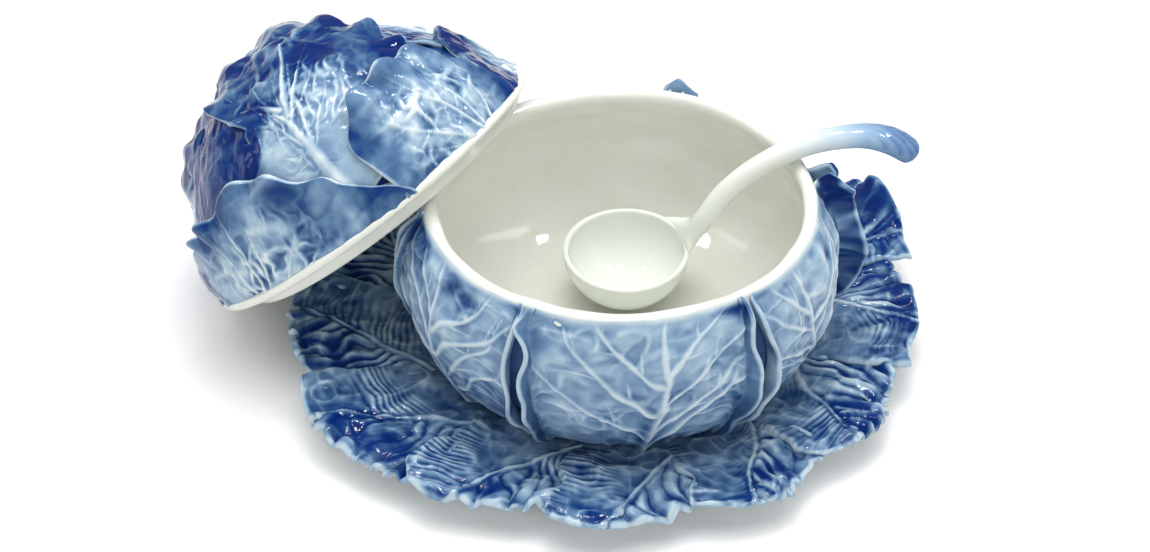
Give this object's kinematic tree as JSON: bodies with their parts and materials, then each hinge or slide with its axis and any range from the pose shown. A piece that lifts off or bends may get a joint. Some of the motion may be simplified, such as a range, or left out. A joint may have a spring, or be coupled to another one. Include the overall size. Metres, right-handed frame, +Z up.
{
  "type": "soup tureen",
  "caption": "Cabbage-leaf soup tureen: leaf-edged stand, round bowl, domed lid leaning on the bowl's rim, and a ladle standing in the bowl.",
  "frame": {"origin": "middle of the stand's flat foot, on the table", "axes": "+Z up, +X to the right along the longest side, the front faces -Y"},
  "size_m": [0.4697, 0.3882, 0.2105],
  "materials": {
    "stand_leaf_glaze": "gloss cobalt glaze, deep blue in the hollows and pale on the ridges",
    "bowl_leaf_glaze": "gloss pale blue glaze, mid blue in the hollows",
    "lid_leaf_glaze": "gloss blue glaze, pale at the leaf roots and cobalt in the folds",
    "cream_glaze": "gloss cream glaze",
    "ladle_glaze": "gloss white glaze that fades to blue at the knob"
  },
  "bodies": {
    "stand": {"stand_dish": "cream_glaze", "stand_leaf_01": "stand_leaf_glaze", "stand_leaf_02": "stand_leaf_glaze", "stand_leaf_03": "stand_leaf_glaze", "stand_leaf_04": "stand_leaf_glaze", "stand_leaf_05": "stand_leaf_glaze", "stand_leaf_06": "stand_leaf_glaze", "stand_leaf_07": "stand_leaf_glaze", "stand_leaf_08": "stand_leaf_glaze", "stand_leaf_09": "stand_leaf_glaze", "stand_leaf_10": "stand_leaf_glaze", "stand_leaf_11": "stand_leaf_glaze", "stand_leaf_12": "stand_leaf_glaze"},
    "bowl": {"bowl_leaf_01": "bowl_leaf_glaze", "bowl_leaf_02": "bowl_leaf_glaze", "bowl_leaf_03": "bowl_leaf_glaze", "bowl_leaf_04": "bowl_leaf_glaze", "bowl_leaf_05": "bowl_leaf_glaze", "bowl_leaf_06": "bowl_leaf_glaze", "bowl_wall": "cream_glaze"},
    "lid": {"lid_crown_leaf": "lid_leaf_glaze", "lid_low_leaf_01": "lid_leaf_glaze", "lid_low_leaf_02": "lid_leaf_glaze", "lid_low_leaf_03": "lid_leaf_glaze", "lid_low_leaf_04": "lid_leaf_glaze", "lid_low_leaf_05": "lid_leaf_glaze", "lid_shell": "cream_glaze", "lid_top_leaf_01": "lid_leaf_glaze", "lid_top_leaf_02": "lid_leaf_glaze", "lid_top_leaf_03": "lid_leaf_glaze"},
    "ladle": {"ladle_cup": "cream_glaze", "ladle_handle": "ladle_glaze"}
  },
  "joints": [
    {"name": "bowl_lift", "type": "slide", "parent": "stand", "child": "bowl", "axis": [0, 0, 1], "range_m": [0, 0.15]},
    {"name": "lid_lift", "type": "slide", "parent": "bowl", "child": "lid", "axis": [0, 0, 1], "range_m": [0, 0.25]},
    {"name": "ladle_lift", "type": "slide", "parent": "bowl", "child": "ladle", "axis": [0, 0, 1], "range_m": [0, 0.2]}
  ]
}
